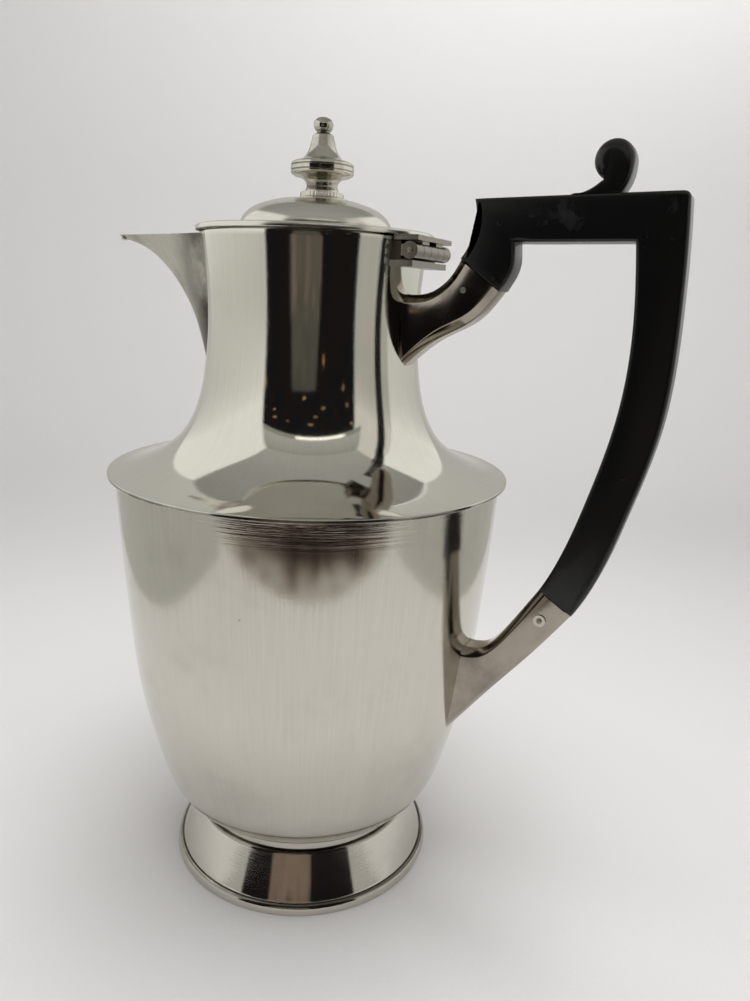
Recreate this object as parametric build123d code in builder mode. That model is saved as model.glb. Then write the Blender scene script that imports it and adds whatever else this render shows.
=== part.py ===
from build123d import *
import math
import os

os.makedirs("parts", exist_ok=True)

# Frame: the foot stands on z = 0 and the pot's axis is Z. The handle points
# along +X, the spout along -X, and the hinge pin lies along Y.

# Driving dimensions, all in millimetres

# Pot, measured on its outer surface
sheet = 0.9                  # wall of the raised sheet
foot_radius = 41.9
foot_rim_height = 3.2
foot_rim_wall = 3.2
foot_waist_radius = 34.7
foot_height = 16.6
foot_ledge_radius = 30.0     # the foot's inturned top carries the collar
collar_radius = 34.0
collar_wall = 3.0
bowl_bottom = 18.8           # underside of the bowl
bowl_flat_radius = 27.0
shoulder_radius = 59.2
bowl_top_radius = shoulder_radius - 2.1
bowl_share = bowl_top_radius / 57.1      # widens the bowl's side with its top
shoulder_height = 127.35     # upper edge of the shoulder's rim
mouth_radius = 31.9
mouth_height = 193.6
mouth_ring_bore = 30.2
mouth_ring_drop = 1.0        # ring top below the mouth's edge
mouth_ring_height = 2.2

# Spout, an open beak
spout_tip = 71.4
spout_top = mouth_height + 0.1
spout_half_width = 12.6      # where its lip meets the neck
spout_tip_half_width = 1.9
spout_keel_radius = 1.6
spout_wall = 0.9
spout_port_top = mouth_height - 7.6       # the neck's wall is whole above this height

# Lid
lid_radius = 33.5
lid_underside = mouth_height + 0.4
lid_edge_height = 1.4
lid_sheet = 0.9
dome_radius = 21.3
dome_base = lid_underside + 2.2
dome_top = lid_underside + 9.4
dome_flat_radius = 9.6       # flat top that seats the finial
bezel_radius = 29.4
bezel_wall = 0.8
bezel_bottom = mouth_height - 3.8

# Finial, turned, standing a little nearer to the hinge than the pot's axis
finial_offset = 1.6
collar_step_top = dome_top + 2.1
disc_radius = 8.75
stud_radius = 1.2
stud_bottom = dome_top - 5.0
stud_top = dome_top + 6.1
nut_flats = 5.4
nut_height = 2.0
washer_radius = 3.8
washer_height = 0.8

# Hinge
pin_radius = 0.8
pin_fit = 0.05               # radial running clearance of the pin
knuckle_radius = 2.2
knuckle_count = 5
knuckle_gap = 0.2
hinge_length = 24.0
hinge_relief = 0.3           # between turning parts and what they pass
leaf_overhang = 2.2          # lid leaf beyond the pin's axis
leaf_height = 1.3
ledge_height = 1.6
ledge_overhang = 0.9
pin_head = 0.5
pin_x = max(mouth_radius + knuckle_radius + hinge_relief, lid_radius + 0.9)
pin_z = lid_underside - leaf_height - hinge_relief - knuckle_radius

# Handle and its sockets
grip_width = 10.0
socket_width = 10.0
socket_bevel = 2.2
socket_wall = 1.1
tenon_gap = 0.35
tenon_length = 10.5
handle_bevel = 1.3
scroll_radius = 4.7
scroll_width = 9.0
rivet_radius = 0.8
rivet_head = 0.35
rivet_ring_radius = 1.65
rivet_ring_height = 0.4

# Sections used by more than one piece, as radius and height


def inset_curve(outline, amount, count=8):
    """Spline that keeps a distance to the left of an outline, drawn backwards."""
    points = []
    for i in range(count + 1):
        heading = outline % (i / count)
        points.append(outline @ (i / count) + Vector(-heading.Y, heading.X) * amount)
    return Spline(points[::-1], tangents=(-(outline % 1), -(outline % 0)), tangent_scalars=(1, 1))


def bowl_outline():
    """Outside of the bowl from its flat bottom to under the shoulder."""
    flat_end = (bowl_flat_radius, bowl_bottom)
    bottom = Line((0, bowl_bottom), flat_end)
    side = Spline(
        flat_end,
        (35.2, bowl_bottom + 1.7),
        (41.9 * bowl_share, bowl_bottom + 7.4),
        (46.5 * bowl_share, bowl_bottom + 18.9),
        (51.4 * bowl_share, bowl_bottom + 39.2),
        (54.4 * bowl_share, bowl_bottom + 66.2),
        (56.3 * bowl_share, bowl_bottom + 92.2),
        (bowl_top_radius, shoulder_height - sheet / 2),
        tangents=((1, 0.02), (0.04, 1)),
        tangent_scalars=(1, 1),
    )
    return bottom, side


def neck_outline():
    """Outside of the shoulder and neck, from the rim up to the mouth."""
    return Spline(
        (shoulder_radius, shoulder_height),
        (shoulder_radius - 5.0, shoulder_height + 0.75),
        (shoulder_radius - 10.6, shoulder_height + 2.75),
        (43.0, shoulder_height + 5.75),
        (38.9, shoulder_height + 9.2),
        (35.5, shoulder_height + 14.2),
        (32.9, shoulder_height + 21),
        (31.2, shoulder_height + 30),
        (30.3, shoulder_height + 43),
        (30.8, shoulder_height + 55),
        (mouth_radius, mouth_height),
        tangents=((-1, 0.06), (0.12, 1)),
        tangent_scalars=(1, 1),
    )


# Plain solids of the pot's outside, used to trim what is soldered to it

with BuildPart() as bowl_core:
    with BuildSketch(Plane.YZ):
        with BuildLine():
            bowl_outline()
            Line((bowl_top_radius, shoulder_height - sheet / 2), (0, shoulder_height - sheet / 2))
            Line((0, shoulder_height - sheet / 2), (0, bowl_bottom))
        make_face()
    revolve(axis=Axis.Z)

with BuildPart() as neck_core:
    with BuildSketch(Plane.YZ):
        with BuildLine():
            neck_outline()
            Line((mouth_radius, mouth_height), (mouth_radius, mouth_height + 1))
            Line((mouth_radius, mouth_height + 1), (0, mouth_height + 1))
            Line((0, mouth_height + 1), (0, shoulder_height))
            Line((0, shoulder_height), (shoulder_radius, shoulder_height))
        make_face()
    revolve(axis=Axis.Z)

# Shoulder and neck, one raised piece, before the spout's port is cut

with BuildPart() as shoulder_and_neck:
    with BuildSketch(Plane.YZ):
        with BuildLine():
            outside = neck_outline()
            inside = inset_curve(outside, sheet)
            Line(outside @ 1, inside @ 0)
            Line(inside @ 1, outside @ 0)
        make_face()
    revolve(axis=Axis.Z)
    rim_edges = edges().filter_by(GeomType.CIRCLE).sort_by(SortBy.RADIUS)[-2:]
    fillet(rim_edges, sheet * 0.4)

# Bowl

with BuildPart() as lower_body:
    with BuildSketch(Plane.YZ):
        with BuildLine():
            bottom, side = bowl_outline()
            inside = inset_curve(side, sheet)
            Line(side @ 1, inside @ 0)
            Line(inside @ 1, (0, bowl_bottom + sheet))
            Line((0, bowl_bottom + sheet), bottom @ 0)
        make_face()
    revolve(axis=Axis.Z)
    add(shoulder_and_neck.part, mode=Mode.SUBTRACT)

# Foot: a rim band on the table, the flare above it and a collar under the bowl

flare_bottom = foot_radius - 1.7

with BuildPart() as foot_rim:
    with BuildSketch(Plane.YZ):
        with BuildLine():
            Line((foot_radius - foot_rim_wall, 0), (foot_radius, 0))
            ThreePointArc(
                (foot_radius, 0),
                (foot_radius - 0.35, foot_rim_height * 0.55),
                (foot_radius - 1.5, foot_rim_height),
            )
            Line((foot_radius - 1.5, foot_rim_height), (foot_radius - foot_rim_wall, foot_rim_height))
            Line((foot_radius - foot_rim_wall, foot_rim_height), (foot_radius - foot_rim_wall, 0))
        make_face()
    revolve(axis=Axis.Z)

with BuildPart() as foot:
    with BuildSketch(Plane.YZ):
        with BuildLine():
            flare = ThreePointArc(
                (flare_bottom, foot_rim_height),
                (foot_waist_radius + 2.6, foot_rim_height + 6.7),
                (foot_waist_radius, foot_height),
            )
            Line((foot_waist_radius, foot_height), (foot_ledge_radius, foot_height))
            offset(amount=sheet, side=Side.LEFT, closed=True)
        make_face()
    revolve(axis=Axis.Z)
    add(foot_rim.part, mode=Mode.SUBTRACT)

with BuildPart() as foot_collar:
    with BuildSketch(Plane.XY.offset(foot_height)):
        Circle(collar_radius)
        Circle(collar_radius - collar_wall, mode=Mode.SUBTRACT)
    extrude(amount=bowl_bottom + 3 - foot_height)
    add(bowl_core.part, mode=Mode.SUBTRACT)

# Mouth ring, a wire inside the neck on which nothing catches when the lid swings

ring_top = mouth_height - mouth_ring_drop

with BuildPart() as neck_bore:
    with BuildSketch(Plane.YZ):
        with BuildLine():
            with BuildLine(mode=Mode.PRIVATE):
                outside = neck_outline()
            inside = inset_curve(outside, sheet)
            Line(inside @ 1, (0, (inside @ 1).Y))
            Line((0, (inside @ 1).Y), (0, (inside @ 0).Y))
            Line((0, (inside @ 0).Y), inside @ 0)
        make_face()
    revolve(axis=Axis.Z)

with BuildPart() as mouth_ring:
    with BuildSketch(Plane.XY.offset(ring_top - mouth_ring_height)):
        Circle(mouth_radius)
        Circle(mouth_ring_bore, mode=Mode.SUBTRACT)
    extrude(amount=mouth_ring_height)
    add(neck_bore.part, mode=Mode.INTERSECT)

# Spout: V sections from inside the neck to the tip, as distance from the axis,
# height of the keel and half the width at the lip

tip_depth = 0.9
spout_stations = [
    (28.0, spout_top - 62.7, spout_half_width + 1.2),
    (34.4, spout_top - 49.7, spout_half_width - 1.6),
    (38.2, spout_top - 35.7, spout_half_width - 3.1),
    (42.8, spout_top - 22.7, spout_half_width - 4.5),
    (48.0, spout_top - 14.7, spout_half_width - 5.9),
    (55.3, spout_top - 7.5, spout_half_width - 7.7),
    (63.0, spout_top - 3.1, spout_half_width - 9.3),
    (spout_tip, spout_top - tip_depth, spout_tip_half_width),
]


def spout_section(distance, keel, half_width, wall):
    """One upright V of the beak with a rounded keel, inset by the wall."""
    depth = spout_top - keel
    slope = math.atan2(half_width, depth)
    radius = min(spout_keel_radius, half_width * 0.5)
    apex = keel - radius * (1 / math.sin(slope) - 1)
    inset_apex = apex + wall / math.sin(slope)
    top = spout_top + 2 * wall
    reach = (top - inset_apex) * half_width / (spout_top - apex)
    with BuildSketch(Plane(origin=(-distance, 0, 0), x_dir=(0, 1, 0), z_dir=(1, 0, 0))) as section:
        with BuildLine():
            FilletPolyline((-reach, top), (0, inset_apex), (reach, top), radius=max(radius - wall, 0.3))
            Line((reach, top), (-reach, top))
        make_face()
    return section.sketch


with BuildPart() as spout_outside:
    for station in spout_stations:
        add(spout_section(*station, 0))
    loft()
    split(bisect_by=Plane.XY.offset(spout_top), keep=Keep.BOTTOM)

with BuildPart() as spout_inside:
    for distance, keel, half_width in spout_stations:
        shortened = min(distance, spout_tip - spout_wall * 0.3)
        add(spout_section(shortened, keel, half_width, spout_wall))
    loft()

with BuildPart() as spout:
    add(spout_outside.part)
    add(spout_inside.part, mode=Mode.SUBTRACT)
    add(neck_core.part, mode=Mode.SUBTRACT)

# The port behind the spout stops short of the mouth, so the edge stays a ring

with BuildPart() as spout_port:
    add(spout_inside.part)
    split(bisect_by=Plane.XY.offset(spout_port_top), keep=Keep.BOTTOM)
    split(bisect_by=Plane.XY.offset(shoulder_height + 22), keep=Keep.TOP)
    split(bisect_by=Plane.YZ.offset(-mouth_radius - 4), keep=Keep.TOP)

shoulder_and_neck.part = shoulder_and_neck.part - spout_port.part

# Sockets: eight-sided tubes whose ends are given by a point on their upper or
# inner edge and one on their lower or outer edge, both in the XZ plane

upper_joint = ((45.2, 188.7), (56.2, 180.9))
upper_stations = [
    ((26.0, 179.0), (24.0, 153.0)),
    ((32.5, 179.2), (30.8, 160.4)),
    ((38.0, 180.5), (40.6, 168.2)),
    ((42.3, 184.0), (49.6, 173.2)),
    upper_joint,
]
lower_joint = ((74.2, 103.7), (83.4, 97.9))
lower_stations = [
    ((46.0, 81.2), (44.0, 46.0)),
    ((56.5, 81.9), (52.6, 57.0)),
    ((62.4, 85.4), (63.2, 71.0)),
    ((68.2, 94.0), (72.8, 83.2)),
    lower_joint,
]
upper_rivet_place = (46.9, 180.9)
lower_rivet_place = (75.3, 95.2)


def station_plane(near, far):
    """Plane across a socket between two points, facing the handle."""
    along = Vector(near[0] - far[0], 0, near[1] - far[1]).normalized()
    middle = Vector((near[0] + far[0]) / 2, 0, (near[1] + far[1]) / 2)
    return Plane(origin=middle, x_dir=along, z_dir=Vector(0, 1, 0).cross(along))


def socket_solid(stations, inset):
    """Solid through the stations of one socket, inset all round."""
    bevel = socket_bevel - inset * (2 - math.sqrt(2))
    with BuildPart() as body:
        for near, far in stations:
            with BuildSketch(station_plane(near, far)) as section:
                Rectangle(math.dist(near, far) - 2 * inset, socket_width - 2 * inset)
                chamfer(section.vertices(), bevel)
        loft()
    return body.part


def tenon_solid(stations):
    """Tongue of the handle that fills a socket's mouth with a small gap."""
    mouth = station_plane(*stations[-1])
    with BuildPart() as body:
        add(socket_solid(stations, socket_wall + tenon_gap))
        split(bisect_by=mouth.offset(-tenon_length), keep=Keep.TOP)
    return body.part


def rivet_solid(place, stand):
    """Rivet along Y with a domed head each side, standing off the socket."""
    with BuildPart() as body:
        with BuildSketch(Plane(origin=(place[0], 0, place[1]), x_dir=(1, 0, 0), z_dir=(0, -1, 0))):
            Circle(rivet_radius)
        extrude(amount=socket_width / 2 + stand + rivet_head, both=True)
        ends = body.faces().filter_by(Axis.Y)
        fillet(ends.edges(), rivet_head * 0.95)
    return body.part


with BuildPart() as upper_handle_rivet:
    add(rivet_solid(upper_rivet_place, 0))

with BuildPart() as lower_handle_rivet:
    add(rivet_solid(lower_rivet_place, rivet_ring_height))

with BuildPart() as lower_rivet_rings:
    for side in (-1, 1):
        start = side * (socket_width / 2 + rivet_ring_height / 2)
        ring_middle = (lower_rivet_place[0], start, lower_rivet_place[1])
        with BuildSketch(Plane(origin=ring_middle, x_dir=(1, 0, 0), z_dir=(0, 1, 0))):
            Circle(rivet_ring_radius)
            Circle(rivet_radius, mode=Mode.SUBTRACT)
        extrude(amount=rivet_ring_height / 2, both=True)

with BuildPart() as upper_socket:
    add(socket_solid(upper_stations, 0))
    add(socket_solid(upper_stations, socket_wall), mode=Mode.SUBTRACT)
    add(neck_core.part, mode=Mode.SUBTRACT)
    add(upper_handle_rivet.part, mode=Mode.SUBTRACT)

with BuildPart() as lower_socket:
    add(socket_solid(lower_stations, 0))
    add(socket_solid(lower_stations, socket_wall), mode=Mode.SUBTRACT)
    add(bowl_core.part, mode=Mode.SUBTRACT)
    add(lower_handle_rivet.part, mode=Mode.SUBTRACT)

# Handle, one piece of black hardwood with its thumb scroll and two tenons

handle_front = (48.2, 203.2)
handle_back = (99.3, 204.6)
palm_corner = (88.4, 193.4)
palm_front = (59.2, 192.9)
scroll_centre = (81.2, 211.7)
back_rounding = 1.5

with BuildPart() as scroll:
    with BuildSketch(Plane.XZ):
        with Locations(scroll_centre):
            Circle(scroll_radius)
        with BuildLine():
            front = ThreePointArc((71.5, 203.3), (76.4, 204.9), (79.7, 208.4))
            Line(front @ 1, (scroll_centre[0] + 1, scroll_centre[1]))
            scroll_side = (scroll_centre[0] + scroll_radius, scroll_centre[1])
            Line((scroll_centre[0] + 1, scroll_centre[1]), scroll_side)
            back = ThreePointArc(scroll_side, (85.3, 207.2), (83.2, 203.3))
            Line(back @ 1, front @ 0)
        make_face()
    extrude(amount=scroll_width / 2, both=True)

with BuildPart() as handle:
    with BuildSketch(Plane.XZ) as profile:
        with BuildLine():
            Line(handle_front, handle_back)
            Spline(
                handle_back,
                (100.6, 178.0),
                (99.5, 150.0),
                (94.1, 126.5),
                lower_joint[1],
                tangents=((0.08, -1), (-0.533, -0.846)),
                tangent_scalars=(1, 1),
            )
            Line(lower_joint[1], lower_joint[0])
            Spline(
                lower_joint[0],
                (84.2, 131.5),
                (88.9, 152.5),
                (90.1, 173.0),
                palm_corner,
                tangents=((0.47, 0.88), (-0.12, 1)),
                tangent_scalars=(1, 1),
            )
            Line(palm_corner, palm_front)
            Spline(
                palm_front,
                (59.5, 187.6),
                upper_joint[1],
                tangents=((0.12, -1), (-0.6, -0.8)),
                tangent_scalars=(1, 1),
            )
            Line(upper_joint[1], upper_joint[0])
            Spline(
                upper_joint[0],
                (48.4, 195.4),
                handle_front,
                tangents=((0.5, 0.86), (-0.12, 1)),
                tangent_scalars=(1, 1),
            )
        make_face()
        fillet(profile.vertices().sort_by_distance(handle_back)[0], back_rounding)
    extrude(amount=grip_width / 2, both=True)
    flats = handle.faces().filter_by(Axis.Y)
    joint_faces = [
        handle.faces().sort_by_distance(station_plane(*joint).origin)[0]
        for joint in (upper_joint, lower_joint)
    ]
    ends = [edge for face in joint_faces for edge in face.edges()]
    long_edges = [edge for edge in flats.edges() if not any(edge.is_same(end) for end in ends)]
    chamfer(long_edges, handle_bevel)
    add(scroll.part)
    add(tenon_solid(upper_stations))
    add(tenon_solid(lower_stations))
    add(upper_handle_rivet.part, mode=Mode.SUBTRACT)
    add(lower_handle_rivet.part, mode=Mode.SUBTRACT)

# Hinge

bracket_face = pin_x - knuckle_radius - hinge_relief + 0.1
ledge_top = pin_z - knuckle_radius - hinge_relief
leaf_bottom = lid_underside - leaf_height
knuckle_length = (hinge_length - (knuckle_count - 1) * knuckle_gap) / knuckle_count
knuckle_starts = [-hinge_length / 2 + i * (knuckle_length + knuckle_gap) for i in range(knuckle_count)]


def knuckles(starts, bore, web_low, web_high):
    """Tubes on the pin's axis, each with a web to the piece that carries it."""
    with BuildPart() as body:
        for start in starts:
            with BuildSketch(Plane(origin=(0, start, 0), x_dir=(-1, 0, 0), z_dir=(0, 1, 0))):
                with Locations((-pin_x, pin_z)):
                    Circle(knuckle_radius)
                with Locations(((-web_low[0] - web_high[0]) / 2, (web_low[1] + web_high[1]) / 2)):
                    Rectangle(web_high[0] - web_low[0], web_high[1] - web_low[1])
                with Locations((-pin_x, pin_z)):
                    Circle(bore, mode=Mode.SUBTRACT)
            extrude(amount=knuckle_length)
    return body.part


web_half = knuckle_radius * 0.65

with BuildPart() as pot_knuckles:
    add(
        knuckles(
            knuckle_starts[0::2],
            pin_radius,
            (bracket_face, pin_z - web_half),
            (pin_x, pin_z + web_half),
        )
    )

with BuildPart() as lid_knuckles:
    add(
        knuckles(
            knuckle_starts[1::2],
            pin_radius + pin_fit,
            (pin_x - web_half, pin_z),
            (pin_x + web_half, leaf_bottom),
        )
    )

with BuildPart() as hinge_pin:
    with BuildSketch(Plane(origin=(pin_x, 0, pin_z), x_dir=(1, 0, 0), z_dir=(0, -1, 0))):
        Circle(pin_radius)
    extrude(amount=hinge_length / 2 + pin_head, both=True)
    fillet(hinge_pin.faces().filter_by(Axis.Y).edges(), pin_head * 0.8)

with BuildPart() as hinge_bracket:
    with BuildSketch(Plane.XY.offset(ledge_top)):
        with Locations((bracket_face / 2, 0)):
            Rectangle(bracket_face, hinge_length)
    extrude(amount=leaf_bottom - hinge_relief - ledge_top)
    add(neck_core.part, mode=Mode.SUBTRACT)

with BuildPart() as pot_hinge_leaf:
    with BuildSketch(Plane.XY.offset(ledge_top - ledge_height)):
        with Locations(((pin_x + ledge_overhang) / 2, 0)):
            Rectangle(pin_x + ledge_overhang, hinge_length)
    extrude(amount=ledge_height)
    add(neck_core.part, mode=Mode.SUBTRACT)

with BuildPart() as lid_hinge_leaf:
    with BuildSketch(Plane.XY.offset(leaf_bottom)):
        with Locations(((pin_x + leaf_overhang) / 2, 0)):
            Rectangle(pin_x + leaf_overhang, hinge_length)
        Circle(mouth_radius + hinge_relief, mode=Mode.SUBTRACT)
    extrude(amount=leaf_height)

# Lid: flange and dome spun in one, with the bezel ring that enters the mouth

edge_top = lid_underside + lid_edge_height

with BuildPart() as lid:
    with BuildSketch(Plane.YZ):
        with BuildLine():
            Line((lid_radius, lid_underside), (lid_radius, lid_underside + 0.5))
            rim = ThreePointArc(
                (lid_radius, lid_underside + 0.5),
                (lid_radius - 0.25, edge_top - 0.25),
                (lid_radius - 1.0, edge_top),
            )
            Line(rim @ 1, (dome_radius, dome_base))
            dome = Spline(
                (dome_radius, dome_base),
                (dome_radius - 0.35, dome_base + 1.5),
                (dome_radius - 1.55, dome_base + 3.2),
                (dome_radius - 3.8, dome_base + 4.9),
                (dome_radius - 7.3, dome_base + 6.25),
                (dome_flat_radius, dome_top),
                tangents=((-0.05, 1), (-1, 0)),
                tangent_scalars=(1, 1),
            )
            Line(dome @ 1, (0, dome_top))
            Line((0, dome_top), (0, dome_top - lid_sheet))
            under = inset_curve(dome, lid_sheet)
            Line((0, dome_top - lid_sheet), under @ 0)
            flange_start = (dome_radius - lid_sheet, dome_base - lid_sheet)
            Line(under @ 1, flange_start)
            Line(flange_start, (lid_radius - lid_sheet, edge_top - lid_sheet))
            Line((lid_radius - lid_sheet, edge_top - lid_sheet), (lid_radius - lid_sheet, lid_underside))
            Line((lid_radius - lid_sheet, lid_underside), (lid_radius, lid_underside))
        make_face()
    revolve(axis=Axis.Z)
    with BuildSketch(Plane.XY.offset(dome_base)):
        with Locations((finial_offset, 0)):
            Circle(stud_radius)
    extrude(amount=dome_top - dome_base + 1, mode=Mode.SUBTRACT)

with BuildPart() as lid_bezel:
    with BuildSketch(Plane.XY.offset(bezel_bottom)):
        Circle(bezel_radius)
        Circle(bezel_radius - bezel_wall, mode=Mode.SUBTRACT)
    extrude(amount=edge_top - 0.2 - bezel_bottom)
    add(lid.part, mode=Mode.SUBTRACT)

# Finial, with the stud, washer and nut that hold it

finial_plane = Plane(origin=(finial_offset, 0, 0), x_dir=(1, 0, 0), z_dir=(0, -1, 0))
finial_axis = Axis((finial_offset, 0, 0), (0, 0, 1))
flange_top = dome_top + 0.5
collar_flange_radius = 7.4
collar_step_radius = 6.1
waist_radius = 4.3
disc_bottom = dome_top + 6.8
disc_top = dome_top + 9.5
groove_size = 0.3
finial_top = dome_top + 21.6

with BuildPart() as finial_collar:
    with BuildSketch(finial_plane):
        with BuildLine():
            Polyline(
                (stud_radius, dome_top),
                (collar_flange_radius, dome_top),
                (collar_flange_radius, flange_top),
                (collar_step_radius, flange_top + 0.15),
                (collar_step_radius, collar_step_top),
                (stud_radius, collar_step_top),
                close=True,
            )
        make_face()
    revolve(axis=finial_axis)

with BuildPart() as finial:
    with BuildSketch(finial_plane):
        with BuildLine():
            Line((0, collar_step_top), (waist_radius + 0.7, collar_step_top))
            waist = ThreePointArc(
                (waist_radius + 0.7, collar_step_top),
                (waist_radius, dome_top + 3.6),
                (waist_radius + 1.5, dome_top + 5.6),
            )
            under = ThreePointArc(
                waist @ 1, (disc_radius - 0.8, disc_bottom - 0.6), (disc_radius, disc_bottom + 0.3)
            )
            Line(under @ 1, (disc_radius, disc_top - 0.3))
            over = ThreePointArc(
                (disc_radius, disc_top - 0.3),
                (disc_radius - 0.35, disc_top + 0.35),
                (disc_radius - 1.2, disc_top + 0.75),
            )
            Line(over @ 1, (disc_radius - 2.6, disc_top + 1.0))
            cone = Spline(
                (disc_radius - 2.6, disc_top + 1.0),
                (4.55, dome_top + 12.1),
                (3.75, dome_top + 13.6),
                (2.9, dome_top + 17.0),
                tangents=((-1, 0.45), (-0.1, 1)),
                tangent_scalars=(1, 1),
            )
            Line(cone @ 1, (1.9, dome_top + 17.3))
            Line((1.9, dome_top + 17.3), (1.85, dome_top + 17.8))
            ball = Spline(
                (1.85, dome_top + 17.8),
                (2.68, dome_top + 19.7),
                (1.7, dome_top + 21.2),
                (0, finial_top),
                tangents=((0.8, 0.6), (-1, 0)),
                tangent_scalars=(1, 1),
            )
            Line(ball @ 1, (0, collar_step_top))
        make_face()
    revolve(axis=finial_axis)
    for height in (disc_bottom + 0.9, disc_top - 0.5):
        with BuildSketch(finial_plane):
            with Locations((disc_radius, height)):
                Rectangle(2 * groove_size, groove_size)
        revolve(axis=finial_axis, mode=Mode.SUBTRACT)
    with BuildSketch(Plane(origin=(finial_offset, 0, collar_step_top))):
        Circle(stud_radius)
    extrude(amount=stud_top - collar_step_top, mode=Mode.SUBTRACT)

with BuildPart() as finial_stud:
    with BuildSketch(Plane(origin=(finial_offset, 0, stud_bottom))):
        Circle(stud_radius)
    extrude(amount=stud_top - stud_bottom)
    chamfer(finial_stud.faces().sort_by(Axis.Z)[0].edges(), 0.3)

washer_bottom = dome_top - lid_sheet - washer_height
with BuildPart() as finial_washer:
    with BuildSketch(Plane(origin=(finial_offset, 0, washer_bottom))):
        Circle(washer_radius)
        Circle(stud_radius, mode=Mode.SUBTRACT)
    extrude(amount=washer_height)

with BuildPart() as finial_nut:
    with BuildSketch(Plane(origin=(finial_offset, 0, washer_bottom - nut_height))):
        RegularPolygon(radius=nut_flats / 2, side_count=6, major_radius=False)
        Circle(stud_radius, mode=Mode.SUBTRACT)
    extrude(amount=nut_height)

# One file for each piece

pieces = {
    "lower_body": lower_body,
    "shoulder_and_neck": shoulder_and_neck,
    "mouth_ring": mouth_ring,
    "spout": spout,
    "foot_collar": foot_collar,
    "foot": foot,
    "foot_rim": foot_rim,
    "upper_socket": upper_socket,
    "lower_socket": lower_socket,
    "upper_handle_rivet": upper_handle_rivet,
    "lower_handle_rivet": lower_handle_rivet,
    "lower_rivet_rings": lower_rivet_rings,
    "handle": handle,
    "hinge_bracket": hinge_bracket,
    "pot_hinge_leaf": pot_hinge_leaf,
    "pot_knuckles": pot_knuckles,
    "hinge_pin": hinge_pin,
    "lid": lid,
    "lid_bezel": lid_bezel,
    "lid_hinge_leaf": lid_hinge_leaf,
    "lid_knuckles": lid_knuckles,
    "finial_collar": finial_collar,
    "finial": finial,
    "finial_stud": finial_stud,
    "finial_washer": finial_washer,
    "finial_nut": finial_nut,
}
for name, piece in pieces.items():
    piece.part.label = name
    export_step(piece.part, f"parts/{name}.step")
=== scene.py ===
# %% [markdown]
# # A silver-plated hot-water jug
#
# This lesson dresses a measured jug: a raised bowl, a waisted neck, a beak
# spout, a hinged lid and a black wooden handle. The measured model comes in
# first and fixes every size. Then each visible piece is made again with a
# finer mesh, because polished metal shows every flat facet of a coarse one.
# Everything is in metres, with the foot's centre at the origin, +Z up, the
# handle along +X and the spout along -X.

# %% Load the measured frame
import math

import bmesh
import bpy
import numpy as np
from mathutils import Matrix, Vector


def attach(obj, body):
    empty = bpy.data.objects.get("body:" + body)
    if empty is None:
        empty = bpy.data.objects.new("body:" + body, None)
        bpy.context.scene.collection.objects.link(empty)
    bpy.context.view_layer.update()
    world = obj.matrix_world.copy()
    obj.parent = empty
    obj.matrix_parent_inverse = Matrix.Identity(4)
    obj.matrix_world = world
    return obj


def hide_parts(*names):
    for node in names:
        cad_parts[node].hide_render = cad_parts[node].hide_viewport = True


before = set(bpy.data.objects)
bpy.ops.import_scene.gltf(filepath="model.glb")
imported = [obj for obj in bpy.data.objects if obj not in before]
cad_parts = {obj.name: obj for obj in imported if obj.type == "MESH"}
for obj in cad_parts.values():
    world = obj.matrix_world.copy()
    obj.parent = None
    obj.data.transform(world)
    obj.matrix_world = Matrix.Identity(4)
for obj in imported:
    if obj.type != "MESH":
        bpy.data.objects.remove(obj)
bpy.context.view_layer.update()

# %% [markdown]
# ## The camera
#
# The photograph was taken from close by, a little above the lid, so the foot
# is seen from well above and the lid nearly edge on. A lens of 28 mm at about
# 24 cm from the jug's axis gives that strong perspective. The pitch, yaw and
# roll turn the camera down, to its right and clockwise.

# %% Place the camera
camera_azimuth = math.radians(-60)
camera_distance = 0.23585
camera_height = 0.1795
focal_pixels, picture_height = 786.5, 1001
sensor_width = 36
pitch, yaw, roll = 0.25904, 0.0851, 0.044


def camera_axes():
    """Right, up and forward of the camera in the jug's frame."""
    turn = Matrix.Rotation(camera_azimuth + math.pi / 2, 3, "Z")
    level = Vector((math.sin(yaw), math.cos(yaw), 0))
    side = Vector((math.cos(yaw), -math.sin(yaw), 0))
    ahead = level * math.cos(pitch) - Vector((0, 0, math.sin(pitch)))
    top = level * math.sin(pitch) + Vector((0, 0, math.cos(pitch)))
    right = side * math.cos(roll) + top * math.sin(roll)
    up = top * math.cos(roll) - side * math.sin(roll)
    return turn @ right, turn @ up, turn @ ahead


right, up, ahead = camera_axes()
camera = bpy.data.objects.new("camera", bpy.data.cameras.new("camera"))
bpy.context.scene.collection.objects.link(camera)
camera.data.sensor_width = sensor_width
camera.data.lens = focal_pixels / picture_height * sensor_width
camera.data.clip_start = 0.01
camera.matrix_world = Matrix.Translation(
    (
        camera_distance * math.cos(camera_azimuth),
        camera_distance * math.sin(camera_azimuth),
        camera_height,
    )
) @ Matrix((right, up, -ahead)).transposed().to_4x4()
bpy.context.scene.camera = camera
bpy.context.scene.view_settings.view_transform = "Standard"
print("camera at", [round(v, 4) for v in camera.location], "lens", round(camera.data.lens, 2))

# %% [markdown]
# ## Colours and nodes
#
# Colours are written as the hex values that a colour picker shows. The
# renderer works with linear light, so one function turns one into the other.
# A second small function adds a node with its settings and links, which keeps
# each material down to a few readable lines.

# %% Small helpers for materials
MM = 0.001


def linear(hex_colour):
    """Linear RGBA of an sRGB hex colour."""
    channels = [int(hex_colour[i : i + 2], 16) / 255 for i in (1, 3, 5)]
    return [c / 12.92 if c <= 0.04045 else ((c + 0.055) / 1.055) ** 2.4 for c in channels] + [1.0]


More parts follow.
